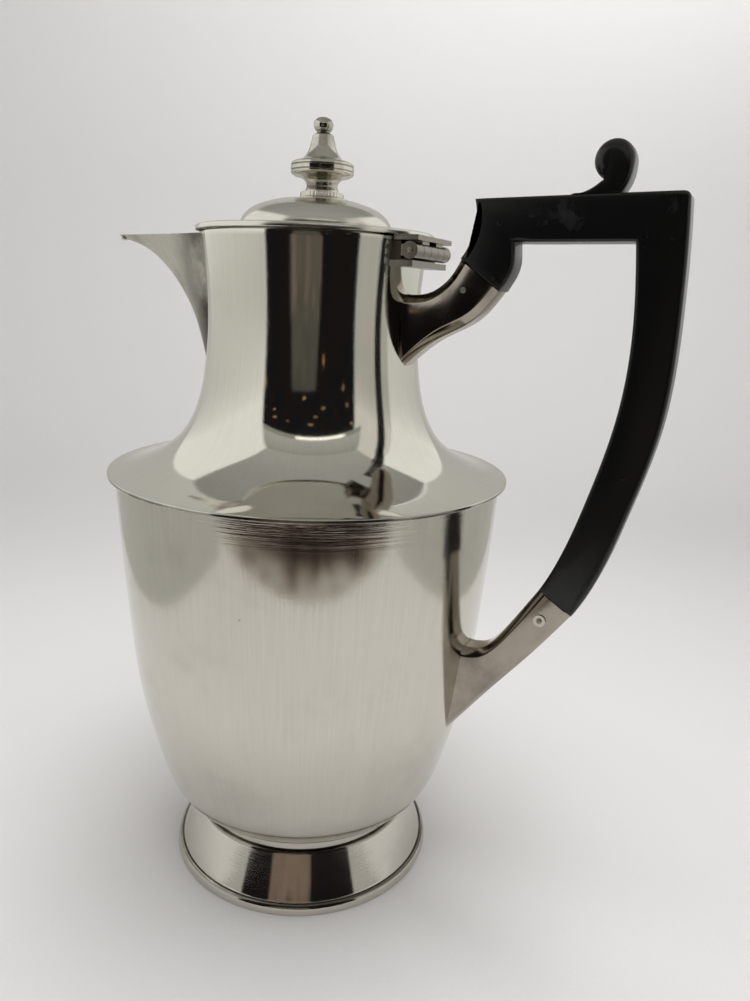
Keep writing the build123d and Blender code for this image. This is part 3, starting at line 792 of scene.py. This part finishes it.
def cut_away(piece, cutter):
    """Cuts one piece by another, keeps the result and removes the cutter."""
    modifier = piece.modifiers.new("cut", "BOOLEAN")
    modifier.operation = "DIFFERENCE"
    modifier.solver = "EXACT"
    modifier.object = cutter
    bpy.context.view_layer.update()
    done = bpy.data.meshes.new_from_object(piece.evaluated_get(bpy.context.evaluated_depsgraph_get()))
    piece.modifiers.clear()
    old, piece.data = piece.data, done
    bpy.data.meshes.remove(old)
    piece.data.set_sharp_from_angle(angle=math.radians(35))
    bpy.data.objects.remove(cutter)
    return piece


print("cutters are ready for", neck.name)

# %% [markdown]
# ## Spout
#
# The beak is a folded V of sheet whose keel sweeps up from the neck to a
# small tip. It is made from upright V sections, each with a rounded keel, and
# the sections in between follow a smooth line through the measured ones.

# %% Sections of the beak
spout_top = 193.7
keel_radius, least_keel_radius = 1.6, 0.3
# Distance from the jug's axis, height of the keel and half the width at the lip
spout_stations = [
    (28.0, 131.0, 13.8), (34.4, 144.0, 11.0), (38.2, 158.0, 9.5), (42.8, 171.0, 8.1),
    (48.0, 179.0, 6.7), (55.3, 186.2, 4.9), (63.0, 190.6, 3.3), (71.0, 192.75, 1.9),
]


def loft(name, rows, material, caps=True):
    """Closed mesh through rows of points in millimetres, each row a closed loop."""
    shell = bmesh.new()
    grid = [[shell.verts.new(Vector(point) * MM) for point in row] for row in rows]
    count = len(grid[0])
    for low, high in zip(grid, grid[1:]):
        for i in range(count):
            j = (i + 1) % count
            shell.faces.new((low[i], low[j], high[j], high[i]))
    if caps:
        shell.faces.new(grid[0][::-1])
        shell.faces.new(grid[-1])
    bmesh.ops.recalc_face_normals(shell, faces=shell.faces)
    return finish_mesh(name, shell, material)


def beak_loop(distance, keel, half_width, wall, top):
    """Upright V with a rounded keel, as points from one lip to the other."""
    slope = math.atan2(half_width, spout_top - keel)
    radius = min(keel_radius, half_width * 0.5)
    apex = keel - radius * (1 / math.sin(slope) - 1)
    inner_apex = apex + wall / math.sin(slope)
    radius = max(radius - wall, least_keel_radius)
    centre = inner_apex + radius / math.sin(slope)
    arc = [-math.pi / 2 + (i - 4) / 4 * (math.pi / 2 - slope) for i in range(9)]
    reach = (top - inner_apex) * math.tan(slope)
    loop = [(-distance, -reach, top)]
    loop += [(-distance, radius * math.cos(a), centre + radius * math.sin(a)) for a in arc]
    loop += [(-distance, reach, top)]
    return loop


spout_line = smooth_line(spout_stations, steps=8)
print("the beak has", len(spout_line), "sections")

# %% Spout
tip_reach, port_top, port_reach = 70.9, 186.0, 38
outer = [beak_loop(*row, 0, spout_top + 0.001) for row in spout_line]
inner = [beak_loop(min(row[0], tip_reach), row[1], row[2], sheet, spout_top + 2.0) for row in spout_line]
port = [[(x, y, min(z, port_top)) for x, y, z in row] for row in inner if row[0][0] > -port_reach]
spout = loft("beak_spout", outer, spout_silver)
cutter = loft("beak_cutter", inner, spout_silver)
port_cutter = loft("port_cutter", port, spout_silver)
cut_away(spout, cutter)
plug_profile = [(0, 127.0), (58.9, 127.0)] + [(r - 0.05, z) for r, z in neck_side] + [(31.85, 195), (0, 195)]
neck_plug = ring_mesh("neck_plug", plug_profile, 256, spout_silver)
cut_away(spout, neck_plug)

# A drop of solder, wider than long, closes the tip
tip = Vector((-0.0702, 0, 0.1929))
bead = bmesh.new()
bead.from_mesh(spout.data)
drop = bmesh.ops.create_icosphere(bead, subdivisions=4, radius=1.0 * MM)
for vertex in drop["verts"]:
    x, y, z = vertex.co
    vertex.co = tip + Vector((x * 1.0, y * 1.7, z * 0.75 - 0.25 * abs(x)))
bead.to_mesh(spout.data)
bead.free()
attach(spout, "pot")
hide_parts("spout")
print("spout faces", len(spout.data.polygons))

# %% Port through the neck
cut_away(neck, port_cutter)
print("neck faces with the port", len(neck.data.polygons))

# %% [markdown]
# ## Foot
#
# The foot is three turned pieces: a half-round rim on the table, a flare
# above it and a plain collar under the bowl. A fine dark line of tarnish and
# painted shade shows where each is soldered to the next.

# %% Foot
flare = smooth_line([(40.25, 3.1), (37.35, 9.9), (34.85, 16.45)], (-0.46, 1), (-0.36, 1), steps=10)
flare_profile = [(40.28, 3.0)] + list(flare) + [(34.65, 16.6), (30.0, 16.6), (30.0, 15.7)]
flare_profile += [(34.0, 15.7)] + list(inner_line(flare, sheet)[1:-1]) + [(39.4, 3.0)]
quarter_turn = np.linspace(0, math.pi / 2, 12)
rim_arc = [(41.9 - 1.3 * (1 - math.cos(a)), 0.35 + 2.8 * math.sin(a)) for a in quarter_turn]
rim_profile = [(38.7, 0), (41.55, 0), (41.82, 0.1)] + rim_arc + [(40.45, 3.0), (40.35, 2.75), (38.7, 2.75)]
foot_collar_profile = [(31.0, 16.6), (33.8, 16.6), (34.0, 16.8), (34.0, 20.1), (33.8, 20.3), (31.0, 19.4)]
for name, node, profile in (
    ("foot_flare", "foot", flare_profile),
    ("foot_rim_band", "foot_rim", rim_profile),
    ("foot_top_collar", "foot_collar", foot_collar_profile),
):
    turned = ring_mesh(name, profile, 192, foot_silver)
    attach(turned, "pot")
    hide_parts(node)
    print(name, len(turned.data.polygons))

# %% [markdown]
# ## Sockets
#
# Two hollow eight-sided sockets hold the handle. Each grows out of the pot
# with a small fillet of solder. Every long line of the mesh starts just inside
# the pot's own outline, which leaves a clean seam.

# %% Sections of the sockets
socket_width, socket_bevel, buried = 10, 2.2, 0.25
fillet_width, fillet_fade = 0.8, 0.7
# The two ends of each section in the handle's plane, from the pot outwards
upper_stations = [
    ((26.0, 179.0), (24.0, 153.0)), ((32.5, 179.2), (30.8, 160.4)), ((38.0, 180.5), (40.6, 168.2)),
    ((42.3, 184.0), (49.6, 173.2)), ((45.2, 188.7), (56.2, 180.9)),
]
lower_stations = [
    ((46.0, 81.2), (44.0, 46.0)), ((56.5, 81.9), (52.6, 57.0)), ((62.4, 85.4), (63.2, 71.0)),
    ((68.2, 94.0), (72.8, 83.2)), ((74.2, 103.7), (83.4, 97.9)),
]


def eight_sided(near, far, width, bevel, rounding=0.35):
    """Bevelled rectangle between two points of the handle's plane, corners eased."""
    near, far = np.array(near), np.array(far)
    half = np.linalg.norm(near - far) / 2
    along = (near - far) / (2 * half)
    middle = (near + far) / 2
    b = width / 2
    easing = 0.25
    corners = [
        (half - bevel, b), (half, b - bevel), (half, bevel - b), (half - bevel, -b),
        (bevel - half, -b), (-half, bevel - b), (-half, b - bevel), (bevel - half, b),
    ]
    loop = []
    for i, corner in enumerate(corners):
        c = np.array(corner)
        back, fore = np.array(corners[i - 1]) - c, np.array(corners[(i + 1) % 8]) - c
        back /= np.linalg.norm(back)
        fore /= np.linalg.norm(fore)
        for q in (c + back * rounding, c + (back + fore) * rounding * easing, c + fore * rounding):
            loop.append((middle[0] + along[0] * q[0], q[1], middle[1] + along[1] * q[0]))
    return loop


def radius_at(side, height):
    """Radius of a turned outline at a height."""
    order = np.argsort(side[:, 1])
    return float(np.interp(height, side[order, 1], side[order, 0]))


print("the neck's radius at the upper socket is", round(radius_at(neck_side, 170), 1), "mm")

# %% Sockets


def socket(name, stations, side, rows=46):
    """Socket from the pot's surface to the handle, with a solder fillet."""
    flat = [(*near, *far) for near, far in stations]
    dense = smooth_line(flat, steps=40)
    loops = np.array([eight_sided(row[:2], row[2:], socket_width, socket_bevel) for row in dense])
    lines = []
    for k in range(loops.shape[1]):
        line = loops[:, k]
        outside = [
            i for i, p in enumerate(line) if math.hypot(p[0], p[1]) > radius_at(side, p[2]) - buried
        ]
        line = line[outside[0] :]
        length = np.concatenate([[0], np.cumsum(np.linalg.norm(np.diff(line, axis=0), axis=1))])
        at = np.linspace(0, 1, rows) ** 1.6 * length[-1]
        lines.append(np.stack([np.interp(at, length, line[:, axis]) for axis in range(3)], 1))
    grid = np.stack(lines, 1)
    # The first row is widened first, and the others measure their distance from it
    for i, row in enumerate(grid):
        middle = row.mean(0)
        from_pot = np.linalg.norm(grid[i] - grid[0], axis=1)
        outward = row - middle
        outward /= np.linalg.norm(outward, axis=1)[:, None]
        grid[i] = row + outward * (fillet_width * np.exp(-from_pot / fillet_fade))[:, None]
    made = loft(name, [list(map(tuple, row)) for row in grid], socket_silver_with_painted_reflection)
    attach(made, "pot")
    return made


upper = socket("upper_handle_socket", upper_stations, neck_side)
lower = socket("lower_handle_socket", lower_stations, bowl_side)
for made, node in ((upper, "upper_socket"), (lower, "lower_socket")):
    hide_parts(node)
    print(made.name, len(made.data.polygons))

# %% [markdown]
# ## Handle
#
# The handle is one piece of wood cut to an outline and bevelled by hand, more
# on the outside and at the two ends than under the grip. The outline is
# walked once, each stretch with its own bevel, and the bevel's section is
# eased so that it catches a soft line of light.

# %% Outline and bevelled slab


def outline(*stretches):
    """Joins stretches of (points, bevel) into one outline with a bevel at each point."""
    points, bevels = [], []
    for line, bevel in stretches:
        for point in line[:-1]:
            points.append(point)
            bevels.append(bevel)
    points = np.array(points)
    bevels = np.array(bevels)
    for _ in range(3):
        bevels = (np.roll(bevels, 1) + bevels * 2 + np.roll(bevels, -1)) / 4
    return points, bevels


def straight(a, b, steps=12):
    """Even points on a straight line."""
    return np.array([np.array(a) + (np.array(b) - np.array(a)) * i / steps for i in range(steps + 1)])


def bevelled_slab(shell, points, bevels, half_width):
    """Adds a flat piece cut to an outline in the XZ plane, with eased bevels."""
    area = sum(a[0] * b[1] - b[0] * a[1] for a, b in zip(points, np.roll(points, -1, axis=0)))
    back = points - np.roll(points, 1, axis=0)
    fore = np.roll(points, -1, axis=0) - points
    back /= np.linalg.norm(back, axis=1)[:, None]
    fore /= np.linalg.norm(fore, axis=1)[:, None]
    sign = 1 if area > 0 else -1
    normal_back = sign * np.stack([-back[:, 1], back[:, 0]], 1)
    normal_fore = sign * np.stack([-fore[:, 1], fore[:, 0]], 1)
    inward = normal_back + normal_fore
    inward /= np.maximum((inward * normal_back).sum(1), 0.5)[:, None]
    quarter = np.linspace(0, math.pi / 2, 8)
    section = [(1 - math.sin(a), 1 - math.cos(a)) for a in quarter]
    layers = [(a, half_width, -d) for a, d in section] + [(a, -half_width, d) for a, d in reversed(section)]
    rows = []
    for share, level, drop in layers:
        row = []
        for point, bevel, pull in zip(points, bevels, inward):
            place = point + pull * bevel * share
            row.append(shell.verts.new(Vector((place[0], level + drop * bevel, place[1])) * MM))
        rows.append(row)
    count = len(points)
    for low, high in zip(rows, rows[1:]):
        for i in range(count):
            j = (i + 1) % count
            shell.faces.new((low[i], low[j], high[j], high[i]))
    shell.faces.new(rows[0][::-1])
    shell.faces.new(rows[-1])


print("a straight stretch gets", len(straight((0, 0), (1, 0))), "points")

# %% Handle
grip_half_width, scroll_half_width = 5.0, 4.5
back_edge, top_edge, corner_radius = 99.3, 204.6, 1.6
socket_top, socket_front = upper_stations[-1]
socket_inner, socket_outer = lower_stations[-1]
arc_x, arc_z = back_edge - corner_radius, top_edge - corner_radius
corner_arc = [
    (arc_x + corner_radius * math.sin(a), arc_z + corner_radius * math.cos(a))
    for a in np.linspace(0, math.pi / 2, 7)
]
grip_back = smooth_line(
    [corner_arc[-1], (100.6, 178.0), (99.5, 150.0), (94.1, 126.5), socket_outer],
    (0.1, -1),
    (-0.533, -0.846),
    steps=14,
)
grip_inside = smooth_line(
    [socket_inner, (84.2, 131.5), (88.9, 152.5), (90.1, 173.0), (88.4, 193.4)],
    (0.47, 0.88),
    (-0.12, 1),
    steps=14,
)
handle_points, handle_bevels = outline(
    (straight((48.2, 203.2), corner_arc[0], 30), 0.7),
    (np.array(corner_arc), 1.0),
    (grip_back, 1.5),
    (straight(socket_outer, socket_inner, 6), 0.5),
    (grip_inside, 0.9),
    (straight((88.4, 193.4), (59.2, 192.9), 16), 0.9),
    (smooth_line([(59.2, 192.9), (59.5, 187.6), socket_front], (0.12, -1), (-0.6, -0.8), 8), 2.0),
    (straight(socket_front, socket_top, 6), 0.5),
    (smooth_line([socket_top, (48.4, 195.4), (48.2, 203.2)], (0.5, 0.86), (-0.12, 1), 8), 2.0),
)
shell = bmesh.new()
bevelled_slab(shell, handle_points, handle_bevels, grip_half_width)

# The thumb scroll is a round with a tail that runs down to the handle's top
scroll_x, scroll_z, scroll_radius = 81.2, 211.7, 4.7
scroll_turn = np.radians(np.linspace(0, 249, 28))
scroll_ring = [
    (scroll_x + scroll_radius * math.cos(a), scroll_z + scroll_radius * math.sin(a)) for a in scroll_turn
]
tail_start = (79.75, 207.6)
scroll_points, scroll_bevels = outline(
    (np.array(scroll_ring + [tail_start]), 2.6),
    (smooth_line([tail_start, (76.4, 205.1), (71.5, 203.7)], steps=6), 0.5),
    (straight((71.5, 203.7), (83.2, 203.7), 8), 0.5),
    (smooth_line([(83.2, 203.7), (85.3, 207.4), (85.9, 211.7)], steps=6), 1.8),
)
bevelled_slab(shell, scroll_points, scroll_bevels, scroll_half_width)
bmesh.ops.recalc_face_normals(shell, faces=shell.faces)
handle = finish_mesh("wooden_handle", shell, ebony, sharp=30)
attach(handle, "pot")
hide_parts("handle")
print("handle faces", len(handle.data.polygons))

# %% [markdown]
# ## Lid
#
# The lid is a flat flange with a low dome raised from its middle. A fine
# groove at the foot of the dome holds tarnish and painted shade, which draw
# the dark line that the photograph shows.

# %% Lid
dome = smooth_line(
    [(21.3, 196.2), (20.95, 197.7), (19.75, 199.4), (17.5, 201.1), (14.0, 202.45), (9.6, 203.4)],
    (-0.05, 1),
    (-1, 0),
    steps=8,
)
lid_profile = [(32.6, 194.0), (33.35, 194.0), (33.5, 194.15), (33.5, 194.8), (33.35, 195.15)]
lid_profile += [(32.9, 195.38), (32.3, 195.42), (22.3, 196.15)]
lid_profile += [(21.75, 196.15), (21.6, 195.95), (21.45, 195.95)]
lid_profile += list(dome) + [(1.25, 203.4), (1.25, 202.5)]
lid_profile += list(inner_line(dome, sheet)) + [(20.4, 195.3), (32.6, 194.5)]
lid = ring_mesh("domed_lid", lid_profile, 256, lid_silver)
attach(lid, "lid_body")
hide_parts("lid")
print("lid faces", len(lid.data.polygons))

# %% [markdown]
# ## Finial
#
# The finial was turned in a lathe: a ball on a cone, a disc with two fine
# grooves and a waist, on a small milled collar. The collar's milling is cut
# as real notches round its edge.

# %% Finial
finial_at = (1.6, 0.0)
ball = smooth_line(
    [(1.85, 221.25), (2.66, 222.6), (2.62, 223.6), (1.5, 224.72), (0, 225.0)], (0.9, 0.45), (-1, 0), 6
)
cone = smooth_line(
    [(6.0, 213.95), (4.55, 215.4), (3.75, 217.0), (3.3, 218.6), (2.9, 220.3)], (-1, 0.4), (-0.1, 1), 6
)
waist = smooth_line(
    [(4.9, 205.5), (4.3, 207.0), (5.0, 208.7), (7.2, 209.6), (8.6, 210.3)], (-0.2, 1), (0.6, 0.8), 6
)
edge = [
    (8.75, 210.5), (8.75, 210.75), (8.4, 210.85), (8.4, 211.1), (8.75, 211.2), (8.75, 212.05),
    (8.4, 212.15), (8.4, 212.4), (8.72, 212.5), (8.6, 212.95), (8.1, 213.35), (7.5, 213.6), (6.3, 213.85),
]
neck_of_ball = [(2.5, 220.6), (2.0, 220.65), (1.8, 220.95)]
finial_profile = [(0, 205.5)] + list(waist) + edge + list(cone) + neck_of_ball + list(ball)
finial = ring_mesh("turned_finial", finial_profile, 128, turned_silver, centre=finial_at, close=False)

# %% Milled collar
notches, notch_depth = 36, 0.22
collar_profile = [
    (1.3, 203.4), (7.3, 203.4), (7.4, 203.55), (7.3, 203.85), (6.2, 204.1),
    (6.1, 204.3), (6.1, 205.2), (5.9, 205.5), (1.3, 205.5),
]
collar = ring_mesh("milled_collar", collar_profile, 144, turned_silver, centre=finial_at)
for vertex in collar.data.vertices:
    x, y, z = vertex.co / MM
    radius = math.hypot(x - finial_at[0], y)
    if 6.0 < radius < 6.15 and z > 204.2:
        turn = math.atan2(y, x - finial_at[0])
        notch = notch_depth * (0.5 + 0.5 * math.cos(turn * notches))
        vertex.co.x -= math.cos(turn) * notch * MM
        vertex.co.y -= math.sin(turn) * notch * MM
for made, node in ((finial, "finial"), (collar, "finial_collar")):
    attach(made, "lid_body")
    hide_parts(node)
    print(made.name, len(made.data.polygons))

# %% [markdown]
# ## The measured pieces that stay
#
# Flat and very small pieces keep their measured mesh. A fine bevel softens
# their edges, and each gets the finish of its neighbours.

# %% Finish the small pieces
edge_bevel = 0.12
finishes = {
    "mouth_ring": cast_silver,
    "lid_bezel": lid_silver,
    "hinge_bracket": near_black_silver,
    "pot_hinge_leaf": hinge_silver,
    "lid_hinge_leaf": hinge_silver,
    "pot_knuckles": hinge_silver,
    "lid_knuckles": hinge_silver,
    "hinge_pin": wire,
    "upper_handle_rivet": wire,
    "lower_handle_rivet": wire,
    "lower_rivet_rings": cast_silver,
    "finial_stud": wire,
    "finial_washer": cast_silver,
    "finial_nut": cast_silver,
}
for node, material in finishes.items():
    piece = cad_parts[node]
    for slot in piece.material_slots:
        slot.material = material
    eased = piece.modifiers.new("eased_edges", "BEVEL")
    eased.width = edge_bevel * MM
    eased.segments = 2
    eased.limit_method = "ANGLE"
print("finished", len(finishes), "measured pieces")
